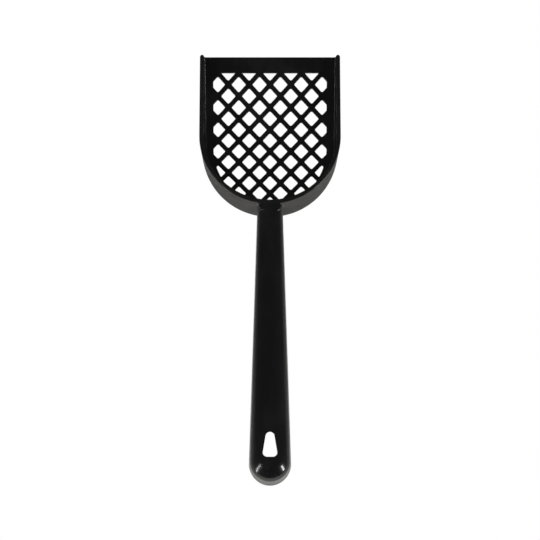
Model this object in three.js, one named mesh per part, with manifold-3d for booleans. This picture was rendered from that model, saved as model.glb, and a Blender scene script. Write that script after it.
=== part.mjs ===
// A hand scoop for sifting: a U-shaped tray with a curved lattice floor and an open front, on a long
// hollow-backed handle with a hanging hole. The real one is a single injection moulding in black
// polypropylene, so the meshes are its working members, parted from each other by a hair line.
//
// Moulding frame, in millimetres: X across, +Y towards the scooping edge, +Z out of the open tray.
// The plane of the rim is Z = 0, and the centre of the round back of the tray is X = Y = 0.

import * as THREE from 'three';
import { mergeVertices } from 'three/addons/utils/BufferGeometryUtils.js';
import Module from 'manifold-3d';

const wasm = await Module();
wasm.setup();

// Tray
const HEAD_RADIUS = 50; // outside of the rim, round the back
const HEAD_FRONT = 60; // where the side walls and the scooping edge end
const RIM_WIDTH = 3;
const RIM_CHAMFER = 0.4;
const TIP_RADIUS = 1.6; // rounding of the side walls' front ends, seen from above
const OUTER_DRAFT = Math.tan(THREE.MathUtils.degToRad(1.4));
const INNER_DRAFT = Math.tan(THREE.MathUtils.degToRad(0.7));
const ARC_STEPS = 72; // facets in a full turn of the round back

// Floor, a sheet bent to one arc that rises towards the front
const FLOOR_RADIUS = 211.5; // its upper face
const FLOOR_ARC_Y = -54.4; // where the arc is lowest
const FLOOR_LOW = -38.56; // height of the upper face there
const FLOOR_THICKNESS = 2.4;
const FLOOR_STEPS = 12;
const LIP_BACK = 52; // the plain scooping lip starts here
const LIP_TAPER_START = 54;
const LIP_EDGE_THICKNESS = 1.4;

// Lattice
const LATTICE_PITCH = 15; // corner to corner of neighbouring openings in a row
const LATTICE_ROW_0 = 43; // Y of the first full row
const OPENING_SIDE = 7.65;
const OPENING_CORNER = 1.1;
const BORDER_RADIUS = 40.8; // openings stay inside this, round the back and at the sides
const BORDER_FRONT = 50.5;
const BORDER_STEPS = 24;
const SMALLEST_SHARE = 0.25; // an opening that keeps less of its area is left solid

// Handle
const END_CENTRE_Y = -230.3; // centre of the round end
const END_HALF = 14.55; // half width at the foot of the skirt
const CROWN_HALF = 13.75; // half width where the crown meets the skirt
const CROWN_RISE = 8.4;
const HANDLE_DEPTH = 20.4;
const ROOT_SCALE = 0.606; // size of the section at the root, against the end
const ROOT_Y = -50;
const TIP_FLARE = 0.017; // how much further the skirt leans out at the tip
const HANDLE_WALL = 2.4;
const CROWN_STEPS = 14;
const ROOT_END_Y = -62; // joint line of the root and the grip
const GRIP_END_Y = -204; // joint line of the grip and the hanging end
const COLLAR_HALF = 8.2;
const COLLAR_END_Y = -52;
const COLLAR_CHAMFER = 1;

// Hanging hole: a rounded wedge, wide end at the tip
const HOLE_NEAR_Y = -210.6;
const HOLE_FAR_Y = -228;
const HOLE_NEAR_HALF = 2.6;
const HOLE_FAR_HALF = 5.5;
const HOLE_CORNER = 3;

// Ribs across the hollow back of the grip
const RIB_COUNT = 5;
const RIB_FIRST_Y = -78;
const RIB_LAST_Y = -194;
const RIB_THICKNESS = 1.6;
const RIB_DEPTH_SHARE = 0.62; // of the handle's depth where the rib stands

const GAP = 0.3; // hair line between members
const FAR = 400; // past everything, for blocks that cut

// Geometry helpers

const UP = new THREE.Vector3(0, 0, 1);
const ACROSS = new THREE.Vector3(1, 0, 0);
const FORWARD = new THREE.Vector3(0, 1, 0);

function toSolid(geometry) {
  geometry.deleteAttribute('normal');
  geometry.deleteAttribute('uv');
  const merged = mergeVertices(geometry, 1e-4);
  const mesh = new wasm.Mesh({
    numProp: 3,
    vertProperties: new Float32Array(merged.attributes.position.array),
    triVerts: new Uint32Array(merged.index.array),
  });
  return new wasm.Manifold(mesh);
}

function toGeometry(solid) {
  const mesh = solid.getMesh();
  const geometry = new THREE.BufferGeometry();
  geometry.setAttribute('position', new THREE.BufferAttribute(mesh.vertProperties, 3));
  geometry.setIndex(new THREE.BufferAttribute(mesh.triVerts, 1));
  geometry.computeVertexNormals();
  return geometry;
}

function editVertices(geometry, edit) {
  const position = geometry.attributes.position;
  const point = new THREE.Vector3();
  for (let i = 0; i < position.count; i += 1) {
    point.fromBufferAttribute(position, i);
    edit(point);
    position.setXYZ(i, point.x, point.y, point.z);
  }
  return geometry;
}

function block(xMin, xMax, yMin, yMax, zMin, zMax) {
  const geometry = new THREE.BoxGeometry(xMax - xMin, yMax - yMin, zMax - zMin);
  geometry.translate((xMin + xMax) / 2, (yMin + yMax) / 2, (zMin + zMax) / 2);
  return toSolid(geometry);
}

// The slice of a solid between two values of Y
function between(solid, yMin, yMax) {
  return solid.intersect(block(-FAR, FAR, yMin, yMax, -FAR, FAR));
}

// A plan outline (X, Y) carried up from zMin to zMax
function extrudeUp(shapes, zMin, zMax, curveSegments) {
  const depth = zMax - zMin;
  const geometry = new THREE.ExtrudeGeometry(shapes, { depth, bevelEnabled: false, curveSegments });
  return geometry.translate(0, 0, zMin);
}

// A section (X, Z) carried along Y from yMin to yMax
function extrudeForward(shape, yMin, yMax, curveSegments) {
  const depth = yMax - yMin;
  const geometry = new THREE.ExtrudeGeometry(shape, { depth, bevelEnabled: false, curveSegments });
  const turn = new THREE.Matrix4().makeBasis(ACROSS, UP, FORWARD.clone().negate());
  return geometry.applyMatrix4(turn).translate(0, yMax, 0);
}

// A side profile (Y, Z) carried across the full width
function extrudeAcross(shape) {
  const geometry = new THREE.ExtrudeGeometry(shape, { depth: 2 * FAR, bevelEnabled: false });
  const turn = new THREE.Matrix4().makeBasis(FORWARD, UP, ACROSS);
  return geometry.applyMatrix4(turn).translate(-FAR, 0, 0);
}

// A profile (radius, Z) turned about the upright axis
function turnedUpright(points, segments) {
  return new THREE.LatheGeometry(points, segments).rotateX(Math.PI / 2);
}

// An outline with its sharp corners cut to a radius
function roundedOutline(points, radius) {
  const shape = new THREE.Shape();
  points.forEach((corner, i) => {
    const before = points[(i + points.length - 1) % points.length];
    const after = points[(i + 1) % points.length];
    const into = corner.clone().sub(before);
    const out = after.clone().sub(corner);
    const wanted = radius * Math.tan(into.angleTo(out) / 2);
    const reach = Math.min(wanted, into.length() / 2, out.length() / 2);
    const start = corner.clone().addScaledVector(into.normalize(), -reach);
    const end = corner.clone().addScaledVector(out.normalize(), reach);
    if (i === 0) {
      shape.moveTo(start.x, start.y);
    } else {
      shape.lineTo(start.x, start.y);
    }
    shape.quadraticCurveTo(corner.x, corner.y, end.x, end.y);
  });
  shape.closePath();
  return shape;
}

// Tray

// Height of an arc parallel to the floor's upper face, a distance below it
function floorHeight(y, below = 0) {
  const centre = FLOOR_LOW + FLOOR_RADIUS;
  const radius = FLOOR_RADIUS + below;
  return centre - Math.sqrt(radius ** 2 - (y - FLOOR_ARC_Y) ** 2);
}

// The solid inside a drafted U-shaped wall face, from far below up to zTop
function trayBody(topRadius, draft, rimStep, front, zTop) {
  const low = -FAR;
  const upright = [
    new THREE.Vector2(topRadius + low * draft, low),
    new THREE.Vector2(topRadius - RIM_CHAMFER * draft, -RIM_CHAMFER),
    new THREE.Vector2(topRadius + rimStep, 0),
  ];
  if (zTop > 0) {
    upright.push(new THREE.Vector2(topRadius + rimStep, zTop));
  }
  const top = upright.at(-1);
  const turned = [new THREE.Vector2(0, low), ...upright, new THREE.Vector2(0, top.y)];
  const section = new THREE.Shape([
    ...upright.map((p) => new THREE.Vector2(-p.x, p.y)),
    ...upright.map((p) => p.clone()).reverse(),
  ]);
  const round = toSolid(turnedUpright(turned, ARC_STEPS));
  const straight = toSolid(extrudeForward(section, 0, front));
  return round.add(straight);
}

// A strip of the floor between two values of Y, across the full width
function floorStrip(yFrom, yTo, thicknessAt, steps) {
  const upper = [];
  const lower = [];
  for (let i = 0; i <= steps; i += 1) {
    const y = THREE.MathUtils.lerp(yFrom, yTo, i / steps);
    upper.push(new THREE.Vector2(y, floorHeight(y)));
    lower.push(new THREE.Vector2(y, floorHeight(y, thicknessAt(y))));
  }
  return toSolid(extrudeAcross(new THREE.Shape([...lower, ...upper.reverse()])));
}

function lipThickness(y) {
  const t = THREE.MathUtils.clamp((y - LIP_TAPER_START) / (HEAD_FRONT - LIP_TAPER_START), 0, 1);
  return THREE.MathUtils.lerp(FLOOR_THICKNESS, LIP_EDGE_THICKNESS, t);
}

// The part of a convex outline on the near side of the line normal . p = distance
function clipOutline(points, normal, distance) {
  const kept = [];
  points.forEach((p, i) => {
    const q = points[(i + 1) % points.length];
    const atP = normal.dot(p) - distance;
    const atQ = normal.dot(q) - distance;
    if (atP <= 0) {
      kept.push(p);
    }
    if (atP * atQ < 0) {
      kept.push(p.clone().lerp(q, atP / (atP - atQ)));
    }
  });
  return kept;
}

// Square openings standing on their corners, cut back where they cross the border
function latticeOpenings() {
  const half = OPENING_SIDE / Math.SQRT2;
  const borders = [{ normal: new THREE.Vector2(0, 1), distance: BORDER_FRONT }];
  for (let i = 0; i <= BORDER_STEPS; i += 1) {
    const angle = -Math.PI * (i / BORDER_STEPS);
    const normal = new THREE.Vector2(Math.cos(angle), Math.sin(angle));
    borders.push({ normal, distance: BORDER_RADIUS });
  }
  const shapes = [];
  const rows = Math.ceil((HEAD_RADIUS + LATTICE_ROW_0) / (LATTICE_PITCH / 2));
  const across = Math.ceil(HEAD_RADIUS / LATTICE_PITCH);
  for (let row = -1; row <= rows; row += 1) {
    const shift = row % 2 === 0 ? 0.5 : 0;
    for (let column = -across; column <= across; column += 1) {
      const x = (column + shift) * LATTICE_PITCH;
      const y = LATTICE_ROW_0 - row * (LATTICE_PITCH / 2);
      let outline = [[half, 0], [0, half], [-half, 0], [0, -half]];
      outline = outline.map(([dx, dy]) => new THREE.Vector2(x + dx, y + dy));
      for (const { normal, distance } of borders) {
        outline = clipOutline(outline, normal, distance);
      }
      if (outline.length > 2 && THREE.ShapeUtils.area(outline) > SMALLEST_SHARE * OPENING_SIDE ** 2) {
        shapes.push(roundedOutline(outline, OPENING_CORNER));
      }
    }
  }
  return toSolid(extrudeUp(shapes, -FAR, FAR, 1));
}

// Plan of the two side walls with their front ends rounded, and room for their draft behind those
function wallPlan() {
  const shapes = [-1, 1].map((side) => {
    const shape = new THREE.Shape();
    const x = side * (HEAD_RADIUS - RIM_WIDTH / 2);
    const round = HEAD_FRONT - TIP_RADIUS;
    shape.moveTo(x + RIM_WIDTH, -1);
    shape.lineTo(x + RIM_WIDTH, round);
    shape.absarc(x, round, TIP_RADIUS, 0, Math.PI, false);
    shape.lineTo(x - RIM_WIDTH, round);
    shape.lineTo(x - RIM_WIDTH, -1);
    shape.closePath();
    return shape;
  });
  return toSolid(extrudeUp(shapes, -FAR, FAR, 6));
}

function trayMembers() {
  const outside = trayBody(HEAD_RADIUS, OUTER_DRAFT, -RIM_CHAMFER, HEAD_FRONT, 0);
  const inside = trayBody(HEAD_RADIUS - RIM_WIDTH, INNER_DRAFT, RIM_CHAMFER, FAR, 5);
  const insideClear = trayBody(HEAD_RADIUS - RIM_WIDTH - GAP, INNER_DRAFT, 0, HEAD_FRONT, 0);
  const aboveFoot = [];
  for (let i = 0; i <= FLOOR_STEPS; i += 1) {
    const y = THREE.MathUtils.lerp(-HEAD_RADIUS, HEAD_FRONT, i / FLOOR_STEPS);
    aboveFoot.push(new THREE.Vector2(y, floorHeight(y, FLOOR_THICKNESS)));
  }
  aboveFoot.push(new THREE.Vector2(HEAD_FRONT, FAR), new THREE.Vector2(-HEAD_RADIUS, FAR));
  const walls = outside.subtract(inside).intersect(toSolid(extrudeAcross(new THREE.Shape(aboveFoot))));
  const sides = between(walls, GAP / 2, FAR).intersect(wallPlan());
  const lip = floorStrip(LIP_BACK + GAP / 2, HEAD_FRONT, lipThickness, 5);
  const sheet = floorStrip(-HEAD_RADIUS, LIP_BACK - GAP / 2, () => FLOOR_THICKNESS, FLOOR_STEPS);
  return {
    back_wall: between(walls, -FAR, -GAP / 2),
    left_side_wall: sides.intersect(block(-FAR, 0, -FAR, FAR, -FAR, FAR)),
    right_side_wall: sides.intersect(block(0, FAR, -FAR, FAR, -FAR, FAR)),
    lattice_floor: sheet.intersect(insideClear).subtract(latticeOpenings()),
    front_lip: lip.intersect(insideClear),
  };
}

// Handle

// Size of the handle's section at a value of Y, from 1 at the end to ROOT_SCALE at the root
function sectionScale(y) {
  return THREE.MathUtils.mapLinear(y, END_CENTRE_Y, ROOT_Y, 1, ROOT_SCALE);
}

// The outside of the handle, filled
function handleOutside() {
  const section = new THREE.Shape();
  section.absellipse(0, -CROWN_RISE, CROWN_HALF, CROWN_RISE, 0, Math.PI, false);
  section.lineTo(-END_HALF, -HANDLE_DEPTH);
  section.lineTo(END_HALF, -HANDLE_DEPTH);
  section.closePath();
  const shaft = editVertices(extrudeForward(section, END_CENTRE_Y, ROOT_Y + 5, CROWN_STEPS), (p) => {
    const scale = sectionScale(p.y);
    p.x *= scale;
    p.z *= scale;
  });
  const profile = [new THREE.Vector2(0, -HANDLE_DEPTH), new THREE.Vector2(END_HALF, -HANDLE_DEPTH)];
  for (let i = 0; i <= CROWN_STEPS / 2; i += 1) {
    const angle = (Math.PI / 2) * (i / (CROWN_STEPS / 2));
    const z = CROWN_RISE * (Math.sin(angle) - 1);
    profile.push(new THREE.Vector2(i === CROWN_STEPS / 2 ? 0 : CROWN_HALF * Math.cos(angle), z));
  }
  const end = editVertices(turnedUpright(profile, ARC_STEPS / 2), (p) => {
    const down = THREE.MathUtils.mapLinear(p.z, -CROWN_RISE, -HANDLE_DEPTH, 0, 1);
    const flare = p.y < 0 ? TIP_FLARE * Math.max(down, 0) : 0;
    p.y = END_CENTRE_Y + p.y * (1 + flare);
  });
  return toSolid(shaft).add(toSolid(end));
}

// The hollow that runs the length of the handle's back, a distance clear of its wall
function handleHollow(clear) {
  const half = CROWN_HALF - HANDLE_WALL - clear;
  const rise = CROWN_RISE - HANDLE_WALL - clear;
  const low = -1.5 * HANDLE_DEPTH;
  const lowHalf = END_HALF - HANDLE_WALL - clear;
  const rootHalf = (CROWN_HALF * ROOT_SCALE - HANDLE_WALL - clear) / half;
  const rootRise = (CROWN_RISE * ROOT_SCALE - HANDLE_WALL - clear) / rise;
  const section = new THREE.Shape();
  section.absellipse(0, -CROWN_RISE, half, rise, 0, Math.PI, false);
  section.lineTo(-lowHalf, low);
  section.lineTo(lowHalf, low);
  section.closePath();
  const shaft = editVertices(extrudeForward(section, END_CENTRE_Y, ROOT_Y, CROWN_STEPS), (p) => {
    const top = rise - CROWN_RISE;
    p.x *= THREE.MathUtils.mapLinear(p.y, END_CENTRE_Y, ROOT_Y, 1, rootHalf);
    p.z = top + (p.z - top) * THREE.MathUtils.mapLinear(p.y, END_CENTRE_Y, ROOT_Y, 1, rootRise);
  });
  const profile = [new THREE.Vector2(0, low), new THREE.Vector2(lowHalf, low)];
  for (let i = 0; i <= CROWN_STEPS / 2; i += 1) {
    const angle = (Math.PI / 2) * (i / (CROWN_STEPS / 2));
    const radius = i === CROWN_STEPS / 2 ? 0 : half * Math.cos(angle);
    profile.push(new THREE.Vector2(radius, rise * Math.sin(angle) - CROWN_RISE));
  }
  const end = turnedUpright(profile, ARC_STEPS / 2).translate(0, END_CENTRE_Y, 0);
  return toSolid(shaft).add(toSolid(end));
}

function hangingHole() {
  const corners = [
    [HOLE_FAR_HALF, HOLE_FAR_Y],
    [HOLE_NEAR_HALF, HOLE_NEAR_Y],
    [-HOLE_NEAR_HALF, HOLE_NEAR_Y],
    [-HOLE_FAR_HALF, HOLE_FAR_Y],
  ].map(([x, y]) => new THREE.Vector2(x, y));
  return toSolid(extrudeUp(roundedOutline(corners, HOLE_CORNER), -FAR, FAR, 5));
}

// A flat-topped collar that carries the rim's level over to the crown
function rootCollar() {
  const depth = HANDLE_DEPTH * ROOT_SCALE;
  const section = new THREE.Shape([
    new THREE.Vector2(-COLLAR_HALF, -depth),
    new THREE.Vector2(COLLAR_HALF, -depth),
    new THREE.Vector2(COLLAR_HALF, -COLLAR_CHAMFER),
    new THREE.Vector2(COLLAR_HALF - COLLAR_CHAMFER, 0),
    new THREE.Vector2(COLLAR_CHAMFER - COLLAR_HALF, 0),
    new THREE.Vector2(-COLLAR_HALF, -COLLAR_CHAMFER),
  ]);
  return toSolid(extrudeForward(section, COLLAR_END_Y, ROOT_Y + 5));
}

function handleMembers() {
  const hollow = handleHollow(0);
  const shell = handleOutside().subtract(hollow);
  const headClear = trayBody(HEAD_RADIUS + GAP, OUTER_DRAFT, 0, HEAD_FRONT, 5);
  const root = between(shell, ROOT_END_Y + GAP / 2, COLLAR_END_Y).add(rootCollar().subtract(hollow));
  const members = {
    handle_root: root.subtract(headClear),
    handle_grip: between(shell, GRIP_END_Y + GAP / 2, ROOT_END_Y - GAP / 2),
    hanging_end: between(shell, -FAR, GRIP_END_Y - GAP / 2).subtract(hangingHole()),
  };
  const ribSpace = handleHollow(GAP);
  for (let i = 0; i < RIB_COUNT; i += 1) {
    const y = THREE.MathUtils.lerp(RIB_FIRST_Y, RIB_LAST_Y, i / (RIB_COUNT - 1));
    const foot = -HANDLE_DEPTH * RIB_DEPTH_SHARE * sectionScale(y);
    const slab = block(-FAR, FAR, y - RIB_THICKNESS / 2, y + RIB_THICKNESS / 2, foot, 0);
    members[`grip_rib_${i + 1}`] = slab.intersect(ribSpace);
  }
  return members;
}

// Assembly, laid down as it rests on a table: on the heel of the tray and the tip of the handle

const heelY = -(HEAD_RADIUS + floorHeight(-HEAD_RADIUS, FLOOR_THICKNESS) * OUTER_DRAFT);
const heelZ = floorHeight(heelY, FLOOR_THICKNESS);
const tipY = END_CENTRE_Y - END_HALF * (1 + TIP_FLARE);
const scoop = new THREE.Group();
for (const [name, solid] of Object.entries({ ...trayMembers(), ...handleMembers() })) {
  const plastic = new THREE.MeshStandardMaterial({ color: 0x161616, roughness: 0.3, metalness: 0 });
  const mesh = new THREE.Mesh(toGeometry(solid), plastic);
  mesh.name = name;
  scoop.add(mesh);
}
scoop.rotation.x = Math.atan2(-HANDLE_DEPTH - heelZ, heelY - tipY);

// The origin is the bottom centre of the box that holds the scoop as it lies
const box = new THREE.Box3().setFromObject(scoop, true);
const centre = box.getCenter(new THREE.Vector3());
scoop.position.set(-centre.x, -centre.y, -box.min.z);

const model = new THREE.Group();
model.add(scoop);

export default model;
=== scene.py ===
from math import asin, atan2, ceil, cos, hypot, pi, radians, sin, sqrt, tan

import bmesh
import bpy
from mathutils import Matrix, Vector
from mathutils.geometry import delaunay_2d_cdt


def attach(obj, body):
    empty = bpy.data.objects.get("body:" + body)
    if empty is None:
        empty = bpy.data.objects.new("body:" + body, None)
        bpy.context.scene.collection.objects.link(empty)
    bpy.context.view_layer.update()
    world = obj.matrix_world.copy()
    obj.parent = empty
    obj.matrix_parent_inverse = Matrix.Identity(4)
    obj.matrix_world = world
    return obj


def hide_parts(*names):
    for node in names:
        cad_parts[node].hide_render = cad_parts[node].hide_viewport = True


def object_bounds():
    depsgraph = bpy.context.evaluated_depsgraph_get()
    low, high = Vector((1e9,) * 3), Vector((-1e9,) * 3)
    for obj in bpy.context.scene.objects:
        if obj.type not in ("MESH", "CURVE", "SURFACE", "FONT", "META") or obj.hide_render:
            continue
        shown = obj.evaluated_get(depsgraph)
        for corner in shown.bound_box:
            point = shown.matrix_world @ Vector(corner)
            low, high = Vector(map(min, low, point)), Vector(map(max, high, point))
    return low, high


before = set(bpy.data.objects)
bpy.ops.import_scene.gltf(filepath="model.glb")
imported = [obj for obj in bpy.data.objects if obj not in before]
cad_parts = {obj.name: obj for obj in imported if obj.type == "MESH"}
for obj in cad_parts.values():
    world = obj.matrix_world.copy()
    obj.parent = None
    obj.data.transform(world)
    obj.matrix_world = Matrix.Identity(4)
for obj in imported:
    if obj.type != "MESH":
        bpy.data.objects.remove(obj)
cad_low, cad_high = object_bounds()


# The scoop as it lies
# A sifting scoop, one injection moulding in black polypropylene, drawn in millimetres as its tool is
# cut: X across, +Y to the scooping edge, +Z out of the open tray, rim at Z = 0. It lies on the heel of
# its tray and on the foot of the handle's end.

HEAD_RADIUS = 50
HEAD_FRONT = 60
OUTER_DRAFT = tan(radians(1.4))
FLOOR_RADIUS = 211.5
FLOOR_ARC_Y = -54.4
FLOOR_LOW = -38.56
FLOOR_THICKNESS = 2.4
END_CENTRE_Y = -230.3
END_HALF = 14.55
TIP_FLARE = 0.034
HANDLE_DEPTH = 20.4
METRES_PER_MILLIMETRE = 0.001


def floor_height(y, below=0.0):
    """Height of the arc that the floor is bent to, or of one parallel to it a distance below."""
    return FLOOR_LOW + FLOOR_RADIUS - sqrt((FLOOR_RADIUS + below) ** 2 - (y - FLOOR_ARC_Y) ** 2)


heel_y = -(HEAD_RADIUS + floor_height(-HEAD_RADIUS, FLOOR_THICKNESS) * OUTER_DRAFT)
heel_z = floor_height(heel_y, FLOOR_THICKNESS)
tip_y = END_CENTRE_Y - END_HALF * (1 + TIP_FLARE)
lie = Matrix.Rotation(atan2(-HANDLE_DEPTH - heel_z, heel_y - tip_y), 4, "X")
lie = lie @ Matrix.Scale(METRES_PER_MILLIMETRE, 4)
front_foot = lie @ Vector((0, HEAD_FRONT, floor_height(HEAD_FRONT, FLOOR_THICKNESS)))
front_rim = lie @ Vector((0, HEAD_FRONT, 0))
lie = Matrix.Translation((0, cad_high.y - front_foot.y, cad_high.z - front_rim.z)) @ lie


# Black polypropylene
# The plastic is dyed through and takes its gloss from the polished cavity, with a faint orange peel,
# flow clouding along the moulding and fine rub marks. The core side, inside the handle, is duller.

BLACK = (0.0042, 0.0042, 0.0043, 1)
RUBBED_BLACK = (0.014, 0.014, 0.0144, 1)
REFRACTION = 1.49
PEEL_PER_METRE = 620
GRAIN_PER_METRE = 3600
CLOUDS_PER_METRE = 85
SCRATCHES_PER_METRE = 1500
SLANTED_SCRATCHES_PER_METRE = 1300
RUBBED_PATCHES_PER_METRE = 55
CLOUD_TINT = 0.35
CLOUD_DULLS = 0.05
SMUDGE_DULLS = 0.09
SCRAPE_DULLS = 0.22
RELIEF_STRENGTH = 0.22
RELIEF_HEIGHT = 0.00004


def add_node(tree, kind, **settings):
    """Adds a node and sets its properties and inputs. An input's name is written with _ for a space."""
    node = tree.nodes.new(kind)
    for name, value in settings.items():
        if hasattr(node, name):
            setattr(node, name, value)
        else:
            node.inputs[name.replace("_", " ")].default_value = value
    return node


def new_group(name, inputs, outputs):
    """A shader node group with named number inputs and outputs, and its two end nodes."""
    tree = bpy.data.node_groups.new(name, "ShaderNodeTree")
    for label, value in inputs.items():
        socket = tree.interface.new_socket(label, in_out="INPUT", socket_type="NodeSocketFloat")
        socket.default_value = value
    for label in outputs:
        tree.interface.new_socket(label, in_out="OUTPUT", socket_type="NodeSocketFloat")
    return tree, tree.nodes.new("NodeGroupInput"), tree.nodes.new("NodeGroupOutput")


def stretched_noise(tree, place, stretch, scale, detail):
    """Noise in the piece's own coordinates, drawn out along the axes that have a small stretch."""
    mapping = add_node(tree, "ShaderNodeMapping", Scale=stretch)
    noise = add_node(tree, "ShaderNodeTexNoise", Scale=scale, Detail=detail)
    tree.links.new(place.outputs["Object"], mapping.inputs["Vector"])
    tree.links.new(mapping.outputs["Vector"], noise.inputs["Vector"])
    return noise


def calculate(tree, operation, first, second):
    """A Math node on two links or numbers."""
    node = add_node(tree, "ShaderNodeMath", operation=operation)
    for socket, value in zip(node.inputs, (first, second)):
        if isinstance(value, bpy.types.NodeSocket):
            tree.links.new(value, socket)
        else:
            socket.default_value = value
    return node.outputs[0]


def step_between(tree, value, low, high):
    """0 below low, 1 above high, smooth between."""
    node = add_node(tree, "ShaderNodeMapRange", From_Min=low, From_Max=high)
    node.interpolation_type = "SMOOTHSTEP"
    tree.links.new(value, node.inputs["Value"])
    return node.outputs["Result"]


def build_moulded_skin():
    """Orange peel as a height, and the slow clouding that the plastic's flow leaves."""
    tree, given, result = new_group("moulded_skin", {"Peel": 1.0, "Grain": 0.3}, ("Height", "Cloud"))
    place = add_node(tree, "ShaderNodeTexCoord")
    peel = stretched_noise(tree, place, (1, 1, 1), PEEL_PER_METRE, 2)
    grain = stretched_noise(tree, place, (1, 1, 1), GRAIN_PER_METRE, 1)
    cloud = stretched_noise(tree, place, (1, 0.35, 1), CLOUDS_PER_METRE, 3)
    coarse = calculate(tree, "MULTIPLY", peel.outputs[0], given.outputs["Peel"])
    fine = calculate(tree, "MULTIPLY", grain.outputs[0], given.outputs["Grain"])
    tree.links.new(calculate(tree, "ADD", coarse, fine), result.inputs["Height"])
    tree.links.new(step_between(tree, cloud.outputs[0], 0.35, 0.68), result.inputs["Cloud"])
    return tree


def build_rub_marks():
    """Hair-fine scratches, mostly lengthwise, in patches where the piece has been handled."""
    tree, given, result = new_group("rub_marks", {"Amount": 0.5}, ("Scratch", "Smudge"))
    place = add_node(tree, "ShaderNodeTexCoord")
    lengthwise = stretched_noise(tree, place, (1, 0.035, 1), SCRATCHES_PER_METRE, 2)
    slanted = stretched_noise(tree, place, (0.06, 1, 1), SLANTED_SCRATCHES_PER_METRE, 2)
    patches = stretched_noise(tree, place, (1, 0.6, 1), RUBBED_PATCHES_PER_METRE, 3)
    along = step_between(tree, lengthwise.outputs[0], 0.66, 0.74)
    aslant = step_between(tree, slanted.outputs[0], 0.70, 0.78)
    handled = step_between(tree, patches.outputs[0], 0.42, 0.66)
    lines = calculate(tree, "MULTIPLY", calculate(tree, "MAXIMUM", along, aslant), handled)
    scratch = calculate(tree, "MULTIPLY", lines, given.outputs["Amount"])
    smudge = calculate(tree, "MULTIPLY", handled, given.outputs["Amount"])
    tree.links.new(scratch, result.inputs["Scratch"])
    tree.links.new(smudge, result.inputs["Smudge"])
    return tree


def build_rubbed_edge():
    """The outward corners, where the gloss goes first."""
    tree, given, result = new_group("rubbed_edge", {"Amount": 0.6}, ("Edge",))
    shape = add_node(tree, "ShaderNodeNewGeometry")
    corner = step_between(tree, shape.outputs["Pointiness"], 0.53, 0.62)
    tree.links.new(calculate(tree, "MULTIPLY", corner, given.outputs["Amount"]), result.inputs["Edge"])
    return tree


moulded_skin = build_moulded_skin()
rub_marks = build_rub_marks()
rubbed_edge = build_rubbed_edge()


def black_plastic(name, gloss, peel, handling, edge_wear):
    """The moulding's plastic in one of its finishes. gloss is the roughness where the skin is untouched,
    and the other three are the shares of orange peel, rub marks and rubbed corners."""
    material = bpy.data.materials.new(name)
    material.use_nodes = True
    tree = material.node_tree
    shader = tree.nodes["Principled BSDF"]
    shader.inputs["IOR"].default_value = REFRACTION
    skin = add_node(tree, "ShaderNodeGroup", node_tree=moulded_skin, Peel=peel)
    marks = add_node(tree, "ShaderNodeGroup", node_tree=rub_marks, Amount=handling)
    edge = add_node(tree, "ShaderNodeGroup", node_tree=rubbed_edge, Amount=edge_wear)
    worn = calculate(tree, "MAXIMUM", edge.outputs["Edge"], marks.outputs["Scratch"])
    clouded = calculate(tree, "MULTIPLY", skin.outputs["Cloud"], CLOUD_TINT)
    colour = add_node(tree, "ShaderNodeValToRGB")
    colour.color_ramp.elements[0].color = BLACK
    colour.color_ramp.elements[1].color = RUBBED_BLACK
    tree.links.new(calculate(tree, "ADD", clouded, worn), colour.inputs["Fac"])
    tree.links.new(colour.outputs["Color"], shader.inputs["Base Color"])
    uneven = calculate(tree, "MULTIPLY", skin.outputs["Cloud"], CLOUD_DULLS)
    smudged = calculate(tree, "MULTIPLY", marks.outputs["Smudge"], SMUDGE_DULLS)
    scraped = calculate(tree, "MULTIPLY", worn, SCRAPE_DULLS)
    roughness = calculate(tree, "ADD", calculate(tree, "ADD", uneven, smudged), scraped)
    tree.links.new(calculate(tree, "ADD", roughness, gloss), shader.inputs["Roughness"])
    height = calculate(tree, "SUBTRACT", skin.outputs["Height"], marks.outputs["Scratch"])
    bump = add_node(tree, "ShaderNodeBump", Strength=RELIEF_STRENGTH, Distance=RELIEF_HEIGHT)
    tree.links.new(height, bump.inputs["Height"])
    tree.links.new(bump.outputs["Normal"], shader.inputs["Normal"])
    return material


# Walls of the tray
# A drafted wall runs round the back and forward along both sides, with a small round on each edge of
# its rim, a fillet down to the floor, and round front ends. It is moulded in one with the floor.

RIM_WIDTH = 3
INNER_DRAFT = tan(radians(0.7))
INNER_RADIUS = HEAD_RADIUS - RIM_WIDTH
WALL_MIDDLE = HEAD_RADIUS - RIM_WIDTH / 2
RIM_ROUND_INSIDE = 0.5
RIM_ROUND_OUTSIDE = 0.7
FOOT_ROUND = 0.5
FLOOR_FILLET = 0.6
FRONT_END = 60.1
TIP_RADIUS = 1.6
TIP_DROP = 0.3
LIP_BACK = 52
LIP_TAPER_START = 54
LIP_EDGE_THICKNESS = 1.4
LIP_BEVEL_START = 58
LIP_BEVEL_DROP = 0.18
BACK_STEPS = 90
SIDE_STEPS = 26
FRONT_STEPS = 4
TIP_STEPS = 6
TIP_TURN = radians(78)
FILLET_STEPS = 8
FACE_STEPS = 7
ROUND_STEPS = 4
MERGE_DISTANCE = 1e-6
SHARP_ANGLE = radians(40)


def fractions(count):
    """Even steps from 0 to 1, both ends included."""
    return [i / count for i in range(count + 1)]


def between(low, high, share):
    return low + (high - low) * share


def upper_face(y):
    """Height of the floor's upper face, with the bevel of the scooping edge."""
    bevel = max(0.0, (y - LIP_BEVEL_START) / (HEAD_FRONT - LIP_BEVEL_START))
    return floor_height(y) - LIP_BEVEL_DROP * bevel


def under_face(y):
    """Height of the floor's underside, which rises to a thin edge at the front."""
    taper = min(1.0, max(0.0, (y - LIP_TAPER_START) / (HEAD_FRONT - LIP_TAPER_START)))
    return floor_height(y, between(FLOOR_THICKNESS, LIP_EDGE_THICKNESS, taper))


def outer_face(z):
    return HEAD_RADIUS + z * OUTER_DRAFT


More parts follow.
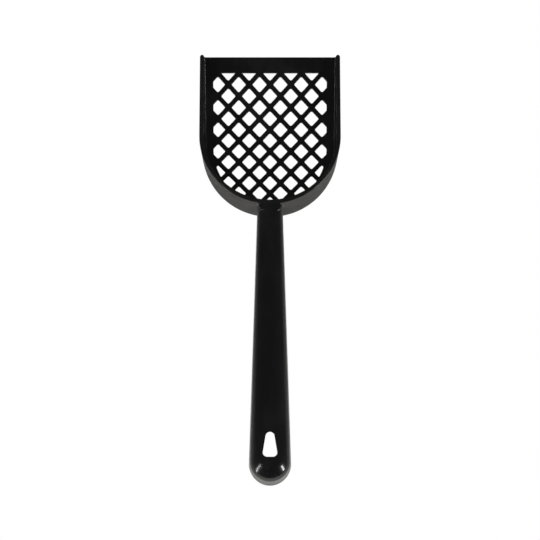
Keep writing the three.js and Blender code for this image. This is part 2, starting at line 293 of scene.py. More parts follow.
def inner_face(z):
    return INNER_RADIUS + z * INNER_DRAFT


def floor_joint(base, out):
    """How far out from its base line the wall's fillet meets the flat of the floor."""
    return inner_face(floor_height((base + out * INNER_RADIUS).y)) - FLOOR_FILLET


def wall_section(base, out, past=0.0):
    """The closed outline of the wall where it faces out from base. It starts where the fillet meets the
    floor, and goes up the inside, over the rim, down the outside and back below. past is how far into
    the round front end it is: there the wall narrows towards its middle and its rim drops."""
    narrow = sqrt(1 - (past / TIP_RADIUS) ** 2)
    drop = TIP_DROP * (1 - narrow)
    joint = floor_joint(base, out)
    foot = upper_face((base + out * INNER_RADIUS).y)
    under = under_face((base + out * WALL_MIDDLE).y)
    outline = []

    def add(radius, z, in_wall=1.0):
        """Adds a point at a radius. in_wall is 1 on the wall, and 0 on the floor, which doesn't narrow."""
        squeezed = between(radius, WALL_MIDDLE + (radius - WALL_MIDDLE) * narrow, in_wall)
        place = base + out * squeezed
        outline.append(Vector((place.x, place.y, z)))

    for t in fractions(FILLET_STEPS):
        radius = joint + FLOOR_FILLET * sin(t * pi / 2)
        rise = FLOOR_FILLET * (1 - cos(t * pi / 2))
        add(radius, upper_face((base + out * radius).y) + rise, t)
    for t in fractions(FACE_STEPS)[1:]:
        z = between(foot + FLOOR_FILLET, -RIM_ROUND_INSIDE, t)
        add(inner_face(z), z - drop * t)
    for t in fractions(ROUND_STEPS)[1:]:
        radius = INNER_RADIUS + RIM_ROUND_INSIDE * (1 - cos(t * pi / 2))
        add(radius, RIM_ROUND_INSIDE * (sin(t * pi / 2) - 1) - drop)
    for t in fractions(ROUND_STEPS):
        radius = HEAD_RADIUS - RIM_ROUND_OUTSIDE * (1 - sin(t * pi / 2))
        add(radius, RIM_ROUND_OUTSIDE * (cos(t * pi / 2) - 1) - drop)
    for t in fractions(FACE_STEPS)[1:]:
        z = between(-RIM_ROUND_OUTSIDE, under + FOOT_ROUND, t)
        add(outer_face(z), z - drop * (1 - t))
    heel = outer_face(under)
    for t in fractions(ROUND_STEPS)[1:]:
        radius = heel - FOOT_ROUND * (1 - cos(t * pi / 2))
        rise = FOOT_ROUND * (1 - sin(t * pi / 2))
        add(radius, under_face((base + out * radius).y) + rise)
    add(INNER_RADIUS, under_face((base + out * INNER_RADIUS).y), 0.5)
    add(joint, under_face((base + out * joint).y), 0)
    return outline


def loft(rings):
    """Points and faces of a closed skin through rings of like numbers of points, with capped ends."""
    size = len(rings[0])
    points = [point for ring in rings for point in ring]
    faces = []
    for near in range(0, len(points) - size, size):
        far = near + size
        for i in range(size):
            j = (i + 1) % size
            faces.append((near + i, near + j, far + j, far + i))
    faces.append(tuple(range(size)))
    faces.append(tuple(range(len(points) - size, len(points))))
    return points, faces


def lay_down(node, points, *finishes):
    """Makes a member's mesh from its points and its (material, faces) pairs, laid as the scoop lies, and
    lets it stand for its CAD node."""
    made = bmesh.new()
    corners = [made.verts.new(lie @ Vector(point)) for point in points]
    for number, (material, faces) in enumerate(finishes):
        for face in faces:
            made.faces.new([corners[i] for i in face]).material_index = number
    bmesh.ops.remove_doubles(made, verts=made.verts, dist=MERGE_DISTANCE)
    bmesh.ops.recalc_face_normals(made, faces=made.faces)
    mesh = bpy.data.meshes.new("moulded_" + node)
    made.to_mesh(mesh)
    made.free()
    for material, _ in finishes:
        mesh.materials.append(material)
    mesh.shade_smooth()
    mesh.set_sharp_from_angle(angle=SHARP_ANGLE)
    piece = bpy.data.objects.new(mesh.name, mesh)
    bpy.context.scene.collection.objects.link(piece)
    even = piece.modifiers.new("even_normals", "WEIGHTED_NORMAL")
    even.mode = "FACE_AREA_WITH_ANGLE"
    even.keep_sharp = True
    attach(piece, "root")
    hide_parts(node)
    return piece


wall_plastic = black_plastic("polished_wall_plastic", gloss=0.30, peel=0.5, handling=0.20, edge_wear=0.20)

back_turns = [pi * (1 + t) for t in fractions(BACK_STEPS)]
back_stations = [(Vector((0, 0)), Vector((cos(turn), sin(turn)))) for turn in back_turns]
side_ys = [LIP_BACK * t for t in fractions(SIDE_STEPS)]
tip_start = FRONT_END - TIP_RADIUS
front_ys = [between(LIP_BACK, tip_start, t) for t in fractions(FRONT_STEPS)[1:]]
tip_pasts = [TIP_RADIUS * sin(TIP_TURN * t) for t in fractions(TIP_STEPS)[1:]]

points, faces = loft([wall_section(base, out) for base, out in back_stations])
lay_down("back_wall", points, (wall_plastic, faces))
for node, side in (("left_side_wall", -1), ("right_side_wall", 1)):
    out = Vector((side, 0))
    rings = [wall_section(Vector((0, y)), out) for y in side_ys + front_ys]
    rings += [wall_section(Vector((0, tip_start + past)), out, past) for past in tip_pasts]
    points, faces = loft(rings)
    lay_down(node, points, (wall_plastic, faces))


# Lattice floor
# The floor is a sheet bent to one arc, pierced by square openings that stand on their corners and leave
# a grid of slanting bars. Openings stop at a plain border, and every edge of them has a small round.

LATTICE_PITCH = 15
LATTICE_ROW_0 = 43
OPENING_SIDE = 7.65
OPENING_CORNER = 1.1
OPENING_EDGE = 0.35
BORDER_RADIUS = 40.8
BORDER_FRONT = 50.5
BORDER_STEPS = 48
SMALLEST_SHARE = 0.25
SHEET_SPACING = 1.6
CLEAR_OF_EDGE = 0.6
CORNER_TURN = radians(14)
SHORTEST_SIDE = 0.02
EDGE_STEPS = 3
INSIDE_ONLY = 1
SAME_PLACE = 1e-7


def clip(outline, normal, distance):
    """The part of a convex outline on the near side of the line normal . p = distance."""
    kept = []
    for p, q in zip(outline, outline[1:] + outline[:1]):
        at_p = normal.dot(p) - distance
        at_q = normal.dot(q) - distance
        if at_p <= 0:
            kept.append(p)
        if at_p * at_q < 0:
            kept.append(p.lerp(q, at_p / (at_p - at_q)))
    return kept


def area(outline):
    return sum(p.cross(q) for p, q in zip(outline, outline[1:] + outline[:1])) / 2


def rounded(outline, radius):
    """An outline with its corners eased by a radius, as far as its sides leave room."""
    eased = []
    for i, corner in enumerate(outline):
        into = corner - outline[i - 1]
        away = outline[(i + 1) % len(outline)] - corner
        turn = into.angle(away)
        reach = min(radius * tan(turn / 2), radius, into.length / 2, away.length / 2)
        start = corner - into.normalized() * reach
        inward = Vector((-into.y, into.x)).normalized() * reach / tan(turn / 2)
        for t in fractions(1 + int(turn / CORNER_TURN)):
            spoke = Matrix.Rotation(turn * t, 2) @ -inward
            eased.append(start + inward + spoke)
    return [p for i, p in enumerate(eased) if (p - eased[i - 1]).length > SHORTEST_SIDE]


def widened(outline, margin):
    """A convex outline, counterclockwise, moved out by a margin all round."""
    moved = []
    for i, p in enumerate(outline):
        into = (p - outline[i - 1]).normalized()
        away = (outline[(i + 1) % len(outline)] - p).normalized()
        along = (into + away).normalized()
        moved.append(p + Vector((along.y, -along.x)) * margin / along.dot(away))
    return moved


def covers(outline, p, margin):
    """Whether a convex, counterclockwise outline holds a point, or comes within a margin of it."""
    sides = zip(outline, outline[1:] + outline[:1])
    return all((b - a).cross(p - a) > -margin * (b - a).length for a, b in sides)


def lattice_openings():
    """The rounded outline of each opening, seen from above."""
    half = OPENING_SIDE / sqrt(2)
    diamond = [Vector((half, 0)), Vector((0, half)), Vector((-half, 0)), Vector((0, -half))]
    borders = [(Vector((0, 1)), BORDER_FRONT)]
    for t in fractions(BORDER_STEPS):
        borders.append((Vector((cos(-pi * t), sin(-pi * t))), BORDER_RADIUS))
    openings = []
    rows = ceil((HEAD_RADIUS + LATTICE_ROW_0) / (LATTICE_PITCH / 2))
    across = ceil(HEAD_RADIUS / LATTICE_PITCH)
    for row in range(-1, rows + 1):
        shift = 0.5 if row % 2 == 0 else 0
        for column in range(-across, across + 1):
            centre = Vector(((column + shift) * LATTICE_PITCH, LATTICE_ROW_0 - row * LATTICE_PITCH / 2))
            outline = [centre + corner for corner in diamond]
            for normal, distance in borders:
                outline = clip(outline, normal, distance)
            if len(outline) > 2 and area(outline) > SMALLEST_SHARE * OPENING_SIDE ** 2:
                openings.append(rounded(outline, OPENING_CORNER))
    return openings


def triangles_between(flat, loops):
    """Triangles over a flat region. The first loop is its border and the others are its openings, each a
    list of indices into the flat points. The points in no loop lie inside."""
    owner = {i: number for number, loop in enumerate(loops) for i in loop}
    edges = [(a, b) for loop in loops for a, b in zip(loop, loop[1:] + loop[:1])]
    parts = delaunay_2d_cdt(flat, edges, [], INSIDE_ONLY, SAME_PLACE)
    faces = parts[2]
    sources = parts[3]
    triangles = []
    for face in faces:
        corners = [sources[i][0] for i in face]
        owners = {owner.get(i, -1) for i in corners}
        if len(owners) > 1 or owners <= {0, -1}:
            triangles.append(tuple(corners))
    return triangles


def strip(first, second):
    """Quads between two closed loops of like numbers of points."""
    pairs = list(zip(first, second))
    return [(a, b, d, c) for (a, b), (c, d) in zip(pairs, pairs[1:] + pairs[:1])]


def pierced_skins(border, inner, openings, flatten, upper, lower, edge):
    """Points, faces and border loops of two skins, upper and lower, joined through rounded openings.
    border and inner are plan points. flatten maps the plan to the flat region that is divided up."""
    points = [upper(p) for p in border]
    flat = [flatten(p) for p in border]
    loops = [list(range(len(border)))]
    turns = [t * pi / 2 for t in fractions(EDGE_STEPS)]
    rounds = [(edge * (1 - sin(turn)), edge * (1 - cos(turn))) for turn in turns]
    for outline in openings:
        rim = widened(outline, edge)
        loops.append(list(range(len(points), len(points) + len(rim))))
        points += [upper(p) for p in rim]
        flat += [flatten(p) for p in rim]
    points += [upper(p) for p in inner]
    flat += [flatten(p) for p in inner]
    triangles = triangles_between(flat, loops)
    plan = border + [p for outline in openings for p in widened(outline, edge)] + inner
    under = len(points)
    points += [lower(p) for p in plan]
    faces = triangles + [(c + under, b + under, a + under) for a, b, c in triangles]
    for outline, loop in zip(openings, loops[1:]):
        last = loop
        for surface, sign, order in ((upper, -1, rounds[1:]), (lower, 1, rounds[:0:-1])):
            for margin, depth in order:
                ring = list(range(len(points), len(points) + len(outline)))
                for p in widened(outline, margin):
                    x, y, z = surface(p)
                    points.append((x, y, z + sign * depth))
                faces += strip(last, ring)
                last = ring
        faces += strip(last, [i + under for i in loop])
    return points, faces, loops[0], [i + under for i in loops[0]]


def floor_border():
    """The line where the floor meets the wall's fillet and the lip, from the front left round the back."""
    left = [(Vector((0, y)), Vector((-1, 0))) for y in reversed(side_ys)]
    right = [(Vector((0, y)), Vector((1, 0))) for y in side_ys]
    stations = left + back_stations[1:-1] + right
    return [base + out * floor_joint(base, out) for base, out in stations]


def floor_grid(openings):
    """Evenly spaced points on the plain parts of the floor."""
    reach = INNER_RADIUS - FLOOR_FILLET - 2 * CLEAR_OF_EDGE
    steps = ceil(reach / SHEET_SPACING)
    kept = []
    for column in range(-steps, steps + 1):
        for row in range(-steps, ceil(LIP_BACK / SHEET_SPACING)):
            p = Vector((column, row)) * SHEET_SPACING
            radius = p.length if p.y < 0 else abs(p.x)
            near = [o for o in openings if (o[0] - p).length < 2 * OPENING_SIDE]
            if radius < reach and not any(covers(o, p, OPENING_EDGE + CLEAR_OF_EDGE) for o in near):
                kept.append(p)
    return kept


lattice_plastic = black_plastic("lattice_plastic", gloss=0.28, peel=0.8, handling=0.30, edge_wear=0.25)

openings = lattice_openings()
points, faces, upper_edge, lower_edge = pierced_skins(
    floor_border(),
    floor_grid(openings),
    openings,
    flatten=lambda p: p,
    upper=lambda p: (p.x, p.y, upper_face(p.y)),
    lower=lambda p: (p.x, p.y, under_face(p.y)),
    edge=OPENING_EDGE,
)
lay_down("lattice_floor", points, (lattice_plastic, faces + strip(upper_edge, lower_edge)))


# Scooping lip
# In front of the lattice the floor runs on plain to the scooping edge. It thins from below, has a narrow
# bevel on top and ends in a small round nose.

NOSE_Y = 59.8
LIP_ROWS = 8
LIP_COLUMNS = 44
NOSE_STEPS = 8


def lip_profile():
    """The lip's section as (y, height) points, from its back edge over the nose and back underneath."""
    along = [between(LIP_BACK, NOSE_Y, t) for t in fractions(LIP_ROWS)] + [LIP_BEVEL_START]
    along.sort()
    middle = (upper_face(NOSE_Y) + under_face(NOSE_Y)) / 2
    round_half = (upper_face(NOSE_Y) - under_face(NOSE_Y)) / 2
    nose = []
    for t in fractions(NOSE_STEPS)[1:-1]:
        nose.append((between(NOSE_Y, FRONT_END, sin(pi * t)), middle + round_half * cos(pi * t)))
    return [(y, upper_face(y)) for y in along] + nose + [(y, under_face(y)) for y in reversed(along)]


rings = []
for t in fractions(LIP_COLUMNS):
    ring = []
    for y, z in lip_profile():
        reach = floor_joint(Vector((0, y)), Vector((1, 0)))
        ring.append((between(-reach, reach, t), y, z))
    rings.append(ring)
points, faces = loft(rings)
lay_down("front_lip", points, (lattice_plastic, faces))


# Grip
# The handle is an arched channel, open below: an elliptical crown on a drafted skirt, narrowing evenly
# towards the tray. The outside is polished by its cavity, and the hollow's core side is duller.

CROWN_HALF = 13.75
CROWN_RISE = 8.4
ROOT_SCALE = 0.62
ROOT_Y = -50
HANDLE_WALL = 2.4
FOOT_WALL = 2.76
ROOT_END_Y = -62
GRIP_END_Y = -204
CROWN_STEPS = 32
SKIRT_STEPS = 6
FOOT_EDGE = 0.6
FOOT_STEPS = 3
GRIP_STEPS = 48


def section_scale(y):
    """Size of the handle's section, from 1 at its round end to ROOT_SCALE at its root."""
    return between(1, ROOT_SCALE, (y - END_CENTRE_Y) / (ROOT_Y - END_CENTRE_Y))


def crown_size(y, wall):
    """Half width and rise of the crown's outside, or of a surface a wall's thickness inside it."""
    scale = section_scale(y)
    return CROWN_HALF * scale - wall, CROWN_RISE * scale - wall


def crown_angles():
    return [radians(between(-90, 90, t)) for t in fractions(CROWN_STEPS)]


def skirt_column(scale):
    """The skirt on one side as (half width, height) points: down the outside, and up the inside."""
    depth = HANDLE_DEPTH * scale
    crown_half = CROWN_HALF * scale
    crown_foot = -CROWN_RISE * scale
    foot_half = END_HALF * scale
    roof_half = crown_half - HANDLE_WALL
    inside_half = foot_half - FOOT_WALL
    outside = []
    inside = []
    for t in fractions(SKIRT_STEPS):
        share = t * (1 - FOOT_EDGE / (depth + crown_foot))
        outside.append((between(crown_half, foot_half, share), between(crown_foot, -depth, share)))
        inside.insert(0, (between(roof_half, inside_half, share), between(crown_foot, -depth, share)))
    for t in fractions(FOOT_STEPS)[1:]:
        inset = FOOT_EDGE * (1 - cos(t * pi / 2))
        height = FOOT_EDGE * (1 - sin(t * pi / 2)) - depth
        outside.append((foot_half - inset, height))
        inside.insert(0, (inside_half + inset, height))
    return outside, inside


def channel_section(y):
    """The arched channel's closed outline at y: crown, right skirt, roof of the hollow, left skirt."""
    half, rise = crown_size(y, 0)
    crown = [(half * sin(turn), rise * (cos(turn) - 1)) for turn in crown_angles()]
    half, rise = crown_size(y, HANDLE_WALL)
    roof = [(half * sin(turn), rise * (cos(turn) - 1) - HANDLE_WALL) for turn in crown_angles()]
    outside, inside = skirt_column(section_scale(y))
    right = (outside + inside)[1:-1]
    left = [(-x, z) for x, z in reversed(right)]
    return [(x, y, z) for x, z in crown + right + roof[::-1] + left]


def in_hollow(place):
    """Whether a place on the handle's surface is on its core side, inside the middle of the wall."""
    half, rise = crown_size(max(place.y, END_CENTRE_Y), HANDLE_WALL / 2)
    radius = hypot(place.x, min(0, place.y - END_CENTRE_Y))
    drop = -place.z - HANDLE_WALL / 2
    if drop > rise:
        return radius < between(half, half + END_HALF - CROWN_HALF, (drop - rise) / HANDLE_DEPTH)
    return (radius / half) ** 2 + (1 - drop / rise) ** 2 < 1


def both_finishes(points, faces):
    """The handle's faces as those of the polished outside and those of the duller hollow."""
    outside = []
    hollow = []
    for face in faces:
        centre = sum((Vector(points[i]) for i in face), Vector((0, 0, 0))) / len(face)
        side = hollow if in_hollow(centre) else outside
        side.append(face)
    return (grip_plastic, outside), (core_plastic, hollow)


grip_plastic = black_plastic("polished_grip_plastic", gloss=0.13, peel=0.7, handling=0.55, edge_wear=0.30)
core_plastic = black_plastic("core_side_plastic", gloss=0.36, peel=1.6, handling=0.15, edge_wear=0.20)

grip_ys = [between(GRIP_END_Y, ROOT_END_Y, t) for t in fractions(GRIP_STEPS)]
points, faces = loft([channel_section(y) for y in grip_ys])
lay_down("handle_grip", points, *both_finishes(points, faces))


# Root of the handle
# Just behind the tray the crown squares up into a flat collar, level with the rim, and the channel
# spreads with a small fillet where it runs into the back wall. It is moulded in one with both.

COLLAR_START_Y = -54.6
COLLAR_FULL_Y = -52.6
COLLAR_END_Y = -52.2
COLLAR_STEPS = 6
COLLAR_SQUARENESS = 0.32
COLLAR_NARROWING = 0.975
COLLAR_DROP = 0.06
WALL_FILLET = 0.9
WALL_FILLET_STEPS = 5
SPREAD_FULL_X = 4
ROOT_STEPS = 6


def squared(value, power):
    """A sine or cosine pushed towards 1, which fills an ellipse out to a rounded square."""
    return (1 if value >= 0 else -1) * abs(value) ** power


def collar_section(y, share):
    """The channel's outline at y with its crown squared up by a share, from 0 to 1."""
    power = between(1, COLLAR_SQUARENESS, share)
    half, rise = crown_size(y, 0)
    outline = []
    for i, (x, _, z) in enumerate(channel_section(y)):
        if i <= CROWN_STEPS:
            turn = crown_angles()[i]
            x = half * squared(sin(turn), power)
            z = rise * (squared(cos(turn), power) - 1)
        outline.append(Vector((x * between(1, COLLAR_NARROWING, share), y, z - COLLAR_DROP * share)))
    return outline


def against_wall(outline, gap, spread):
    """The collar's outline drawn onto the round back wall, a gap off its face, with its sides spread.
    The spread grows from nothing in the middle to all of it at SPREAD_FULL_X."""
    drawn = []
    for x, y, z in outline:
        outwards = -1 if in_hollow(Vector((x, y, z))) else 1
        x += outwards * spread * max(-1, min(1, x / SPREAD_FULL_X))
        drawn.append(Vector((x, -sqrt((outer_face(z) + gap) ** 2 - x ** 2), z)))
    return drawn


rings = [channel_section(between(ROOT_END_Y, COLLAR_START_Y, t)) for t in fractions(ROOT_STEPS)]
for t in fractions(COLLAR_STEPS)[1:]:
    ease = t * t * (3 - 2 * t)
    rings.append(collar_section(between(COLLAR_START_Y, COLLAR_FULL_Y, t), ease))
collar = collar_section(COLLAR_END_Y, 1)
for t in fractions(WALL_FILLET_STEPS):
    gap = WALL_FILLET * (1 - sin(t * pi / 2))
    spread = WALL_FILLET * (1 - cos(t * pi / 2))
    rings.append(against_wall(collar, gap, spread))
rings.append(against_wall(collar, -RIM_WIDTH / 2, WALL_FILLET))
points, faces = loft(rings)
lay_down("handle_root", points, *both_finishes(points, faces))


# Hanging end
# The channel closes in a round end, its crown turned to a dome and its skirt flaring a little. A
# wedge-shaped hole for a peg goes through the crown, wide end to the tip, with a small round on its edges.

HOLE_NEAR_Y = -210.6
HOLE_FAR_Y = -227.8
HOLE_NEAR_HALF = 2.6
HOLE_FAR_HALF = 5.5
HOLE_CORNER = 3.6
HOLE_EDGE = 0.4
HOLE_REACH = 7
END_ROWS = 26
END_TURNS = 120
DOME_RINGS = 30


def crown_height(p, wall):
    """Height of the crown, or of the hollow's roof, over a plan point."""
    half, rise = crown_size(max(p.y, END_CENTRE_Y), wall)
    radius = min(half, hypot(p.x, min(0, p.y - END_CENTRE_Y)))
    return rise * (sqrt(1 - (radius / half) ** 2) - 1) - wall


def rolled_out(p):
    """The crown's plan spread to a flat sheet, so that its steep edge gets as even a net as its top."""
    past = min(0, p.y - END_CENTRE_Y)
    half, _ = crown_size(max(p.y, END_CENTRE_Y), 0)
    radius = hypot(p.x, past)
    if radius == 0:
        return Vector((p.x, p.y))
    spread = CROWN_HALF * asin(min(1, radius / half)) / radius
    return Vector((p.x * spread, p.y - past + past * spread))


def end_stations():
    """Stations round the hanging end, as (centre Y, direction out), from the right side over the tip."""
    rows = [between(GRIP_END_Y, END_CENTRE_Y, t) for t in fractions(END_ROWS)]
    right = [(y, Vector((1, 0))) for y in rows]
    turns = [(END_CENTRE_Y, Vector((cos(pi * t), -sin(pi * t)))) for t in fractions(END_TURNS)[1:-1]]
    left = [(y, Vector((-1, 0))) for y in reversed(rows)]
    return right + turns + left


def crown_net(hole):
    """Plan points spread over the crown of the hanging end, clear of its edge and of the hole."""
    kept = []
    for t in fractions(END_ROWS)[1:]:
        y = between(GRIP_END_Y, END_CENTRE_Y, t)
        half, _ = crown_size(y, 0)
        kept += [Vector((half * sin(turn), y)) for turn in crown_angles()[1:-1]]
    for t in fractions(DOME_RINGS)[1:-1]:
        radius = CROWN_HALF * sin(t * pi / 2)
        count = ceil(END_TURNS * t)
        for s in fractions(count)[1:-1]:
            kept.append(Vector((radius * cos(pi * s), END_CENTRE_Y - radius * sin(pi * s))))
    return [p for p in kept if not covers(hole, p, HOLE_EDGE + CLEAR_OF_EDGE)]


def peg_hole():
    """The outline of the hole, seen from above."""
    far = [(-HOLE_FAR_HALF, HOLE_FAR_Y), (HOLE_FAR_HALF, HOLE_FAR_Y)]
    near = [(HOLE_NEAR_HALF, HOLE_NEAR_Y), (-HOLE_NEAR_HALF, HOLE_NEAR_Y)]
    return rounded([Vector(corner) for corner in far + near], HOLE_CORNER)


def roof_below(p):
    """The place on the hollow's roof for a plan point of the crown. It is straight below within the hole's
    reach, and drawn in further out, by the wall's thickness at the edge."""
    half, _ = crown_size(max(p.y, END_CENTRE_Y), 0)
    past = min(0, p.y - END_CENTRE_Y)
    radius = hypot(p.x, past)
    share = 1
    if radius > HOLE_REACH:
        drawn_in = HANDLE_WALL * (radius - HOLE_REACH) / (half - HOLE_REACH)
        share = 1 - drawn_in / radius
    place = Vector((p.x * share, p.y - past * (1 - share)))
    return place.x, place.y, crown_height(place, HANDLE_WALL)


def hanging_end():
    """Points and faces of the closed end: crown and roof with their hole, then the skirt all round."""
    hole = peg_hole()
    stations = end_stations()
    arch_half, _ = crown_size(GRIP_END_Y, 0)
    arch = [Vector((arch_half * sin(turn), GRIP_END_Y)) for turn in crown_angles()[1:-1]]
    edge = [Vector((0, y)) + out * crown_size(y, 0)[0] for y, out in stations]
    border = (edge + arch)[::-1]
    points, faces, upper_edge, lower_edge = pierced_skins(
        border,
        crown_net(hole),
        [hole],
        flatten=rolled_out,
        upper=lambda p: (p.x, p.y, crown_height(p, 0)),
        lower=roof_below,
        edge=HOLE_EDGE,
    )
    upper_edge.reverse()
    lower_edge.reverse()
    columns = []
    for number, (y, out) in enumerate(stations):
        outside, inside = skirt_column(section_scale(y))
        column = [upper_edge[number]]
        for i, (radius, z) in enumerate((outside + inside)[1:-1], start=1):
            down = (-z / section_scale(y) - CROWN_RISE) / (HANDLE_DEPTH - CROWN_RISE)
            flare = TIP_FLARE * down * max(0, -out.y) if i < len(outside) else 0
            column.append(len(points))
            place = out * radius
            points.append((place.x, y + place.y * (1 + flare), z))
        columns.append(column + [lower_edge[number]])
    for near, far in zip(columns, columns[1:]):
        faces += [(near[i], near[i + 1], far[i + 1], far[i]) for i in range(len(near) - 1)]
    upper_arch = upper_edge[len(stations):]
    lower_arch = lower_edge[len(stations):]
    faces.append(tuple(columns[0] + lower_arch[::-1] + columns[-1][::-1] + upper_arch))
    return points, faces


points, faces = hanging_end()
lay_down("hanging_end", points, *both_finishes(points, faces))


# Ribs of the grip
# Five thin webs cross the hollow and stiffen the channel. Each has a bellied free edge with a round
# along it, and runs into the core side of the walls.

RIB_COUNT = 5
RIB_FIRST_Y = -78
RIB_LAST_Y = -194
RIB_THICKNESS = 1.6
RIB_DEPTH_SHARE = 0.62
RIB_BELLY = 1.2
RIB_INTO_WALL = 0.5
RIB_ROUND = 0.6
RIB_EDGE_STEPS = 16
RIB_ROUND_STEPS = 8


def rib_outline(y, lift):
    """A web's outline across the channel, with its free edge lifted by an amount."""
    half, rise = crown_size(y, HANDLE_WALL - RIB_INTO_WALL)
    top = RIB_INTO_WALL - HANDLE_WALL
    free = lift - HANDLE_DEPTH * RIB_DEPTH_SHARE * section_scale(y)
    outline = [(half * sin(turn), rise * (cos(turn) - 1) + top) for turn in crown_angles()]
    for t in fractions(RIB_EDGE_STEPS):
        belly = RIB_BELLY * (1 - (2 * t - 1) ** 2)
        outline.append((between(half, -half, t), free + belly))
    return outline


for number, t in enumerate(fractions(RIB_COUNT - 1), start=1):
    y = between(RIB_FIRST_Y, RIB_LAST_Y, t)
    rings = []
    for turn in [radians(between(-90, 90, s)) for s in fractions(RIB_ROUND_STEPS)]:
        side = 1 if turn > 0 else -1
        offset = (RIB_THICKNESS / 2 - RIB_ROUND) * side + RIB_ROUND * sin(turn)
        outline = rib_outline(y, RIB_ROUND * (1 - cos(turn)))
        rings.append([(x, y + offset, z) for x, z in outline])
    points, faces = loft(rings)
    lay_down(f"grip_rib_{number}", points, (core_plastic, faces))


# Table, light and camera
# The scoop lies on a white lit table in a dim studio. Two tall strip lamps stand off to the left and
# right of its handle. A wide cloth overhead and a small lamp low over the table in front of the handle's
# tip light the table, and don't show in the gloss.

TABLE_HALF = 6.0
CAMERA_AIM = Vector((0, -97.80, 0))
CAMERA_TILT = radians(13.2157)
CAMERA_DISTANCE = 1290.6
CAMERA_LENS = 123.95
ROOM_LEVELS = ((0.0, 0.42), (0.06, 0.30), (0.18, 0.21), (0.42, 0.12), (1.0, 0.09))
NEAR_SIDE_LEVEL = 0.35
NEAR_SIDE_Y = -0.75
TABLE_WHITE = (0.81, 0.80, 0.765, 1)
STRIP_DISTANCE = 1.5
OVERHEAD_NEAR_END = Vector((0, -0.4, 2.3))
OVERHEAD_FAR_END = Vector((0, 2.0, 1.9))
OVERHEAD_WIDTH = 3.0
OVERHEAD_POWER = 14
TIP_LAMP_SIDE = 0.25
TIP_LAMP_GAP = 0.05
TIP_LAMP_HEIGHT = 0.06
TIP_LAMP_POWER = 0.36


def studio_world():
    """A dim room, darkest on the handle's side, that pales towards the horizon, where the table ends."""
    world = bpy.data.worlds.new("studio")
    world.use_nodes = True
    tree = world.node_tree
    background = tree.nodes["Background"]
    place = add_node(tree, "ShaderNodeTexCoord")
    parts = add_node(tree, "ShaderNodeSeparateXYZ")
    ramp = add_node(tree, "ShaderNodeValToRGB")
    ramp.color_ramp.elements.remove(ramp.color_ramp.elements[1])
    lowest = ROOM_LEVELS[0][1]
    ramp.color_ramp.elements[0].color = (lowest, lowest, lowest, 1)
    for height, level in ROOM_LEVELS[1:]:
        stop = ramp.color_ramp.elements.new(height)
        stop.color = (level, level, level, 1)
    tree.links.new(place.outputs["Generated"], parts.inputs["Vector"])
    tree.links.new(parts.outputs["Z"], ramp.inputs["Fac"])
    tree.links.new(ramp.outputs["Color"], background.inputs["Color"])
    near_side = add_node(tree, "ShaderNodeMapRange", From_Min=NEAR_SIDE_Y, From_Max=0.0)
    near_side.inputs["To Min"].default_value = NEAR_SIDE_LEVEL
    tree.links.new(parts.outputs["Y"], near_side.inputs["Value"])
    tree.links.new(near_side.outputs["Result"], background.inputs["Strength"])
    backdrop = add_node(tree, "ShaderNodeBackground", Color=(1, 1, 1, 1), Strength=1.0)
    seen = add_node(tree, "ShaderNodeLightPath")
    mix = add_node(tree, "ShaderNodeMixShader")
    tree.links.new(seen.outputs["Is Camera Ray"], mix.inputs["Fac"])
    tree.links.new(background.outputs["Background"], mix.inputs[1])
    tree.links.new(backdrop.outputs["Background"], mix.inputs[2])
    tree.links.new(mix.outputs["Shader"], tree.nodes["World Output"].inputs["Surface"])
    return world


def lit_table():
    """A plain white table top: evenly bright when seen directly, softly lit where the scoop mirrors it,
    and clear from below."""
    material = bpy.data.materials.new("white_table")
    material.use_nodes = True
    tree = material.node_tree
    tree.nodes.remove(tree.nodes["Principled BSDF"])
    glow = add_node(tree, "ShaderNodeEmission", Color=(1, 1, 1, 1), Strength=1.0)
    cloth = add_node(tree, "ShaderNodeBsdfDiffuse", Color=TABLE_WHITE)
    seen = add_node(tree, "ShaderNodeLightPath")
    mix = add_node(tree, "ShaderNodeMixShader")
    tree.links.new(seen.outputs["Is Camera Ray"], mix.inputs["Fac"])
    tree.links.new(cloth.outputs["BSDF"], mix.inputs[1])
    tree.links.new(glow.outputs["Emission"], mix.inputs[2])
    side = add_node(tree, "ShaderNodeNewGeometry")
    clear = add_node(tree, "ShaderNodeBsdfTransparent")
    from_below = add_node(tree, "ShaderNodeMixShader")
    tree.links.new(side.outputs["Backfacing"], from_below.inputs["Fac"])
    tree.links.new(mix.outputs["Shader"], from_below.inputs[1])
    tree.links.new(clear.outputs["BSDF"], from_below.inputs[2])
    tree.links.new(from_below.outputs["Shader"], tree.nodes["Material Output"].inputs["Surface"])
    return material


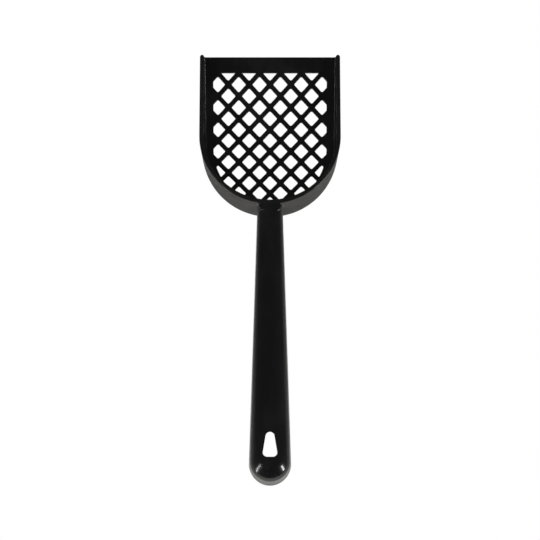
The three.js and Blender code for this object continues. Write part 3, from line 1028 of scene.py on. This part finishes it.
def area_lamp(name, start, end, aim, width, power, in_gloss=True):
    """A flat lamp that runs from one end to the other, in metres, and faces a point."""
    lamp = bpy.data.lights.new(name, "AREA")
    lamp.shape = "RECTANGLE"
    lamp.size = width
    lamp.size_y = (end - start).length
    lamp.energy = power
    middle = (start + end) / 2
    along = (end - start).normalized()
    across = along.cross(middle - aim).normalized()
    stand = bpy.data.objects.new(name, lamp)
    facing = Matrix((across, along, across.cross(along))).transposed()
    stand.matrix_world = Matrix.Translation(middle) @ facing.to_4x4()
    stand.visible_glossy = in_gloss
    bpy.context.scene.collection.objects.link(stand)


def towards(azimuth, elevation, distance):
    """A step of a level distance in a direction given in degrees."""
    level = Vector((cos(radians(azimuth)), sin(radians(azimuth)), tan(radians(elevation))))
    return level * distance


table_mesh = bpy.data.meshes.new("table")
corners = [(x * TABLE_HALF, y * TABLE_HALF, 0) for x, y in ((-1, -1), (1, -1), (1, 1), (-1, 1))]
table_mesh.from_pydata(corners, [], [(0, 1, 2, 3)])
table_mesh.materials.append(lit_table())
table = bpy.data.objects.new("table", table_mesh)
bpy.context.scene.collection.objects.link(table)

bpy.context.scene.world = studio_world()
bpy.context.scene.view_settings.view_transform = "Standard"
tip = lie @ Vector((0, END_CENTRE_Y, 0))
for name, low, high, width, power in (
    ("strip_right", (-28, 8), (-21, 39), 0.065, 15),
    ("strip_left", (-148, 2), (-158, 52), 0.055, 14),
):
    ends = [tip + towards(*end, STRIP_DISTANCE) for end in (low, high)]
    area_lamp(name, *ends, tip, width, power)
overhead_ends = (OVERHEAD_NEAR_END, OVERHEAD_FAR_END)
area_lamp("overhead_cloth", *overhead_ends, tip, OVERHEAD_WIDTH, OVERHEAD_POWER, in_gloss=False)
near = Vector((0, tip.y - TIP_LAMP_GAP, TIP_LAMP_HEIGHT))
far = near - Vector((0, TIP_LAMP_SIDE, 0))
below = (near + far) / 2 - Vector((0, 0, TIP_LAMP_HEIGHT))
area_lamp("tip_lamp", far, near, below, TIP_LAMP_SIDE, TIP_LAMP_POWER, in_gloss=False)

camera = bpy.data.objects.new("camera", bpy.data.cameras.new("camera"))
bpy.context.scene.collection.objects.link(camera)
bpy.context.scene.camera = camera
camera.data.lens = CAMERA_LENS
eye = CAMERA_AIM + CAMERA_DISTANCE * Vector((0, -sin(CAMERA_TILT), cos(CAMERA_TILT)))
camera.location = lie @ eye
camera.rotation_mode = "QUATERNION"
camera.rotation_quaternion = (lie @ CAMERA_AIM - lie @ eye).to_track_quat("-Z", "Y")
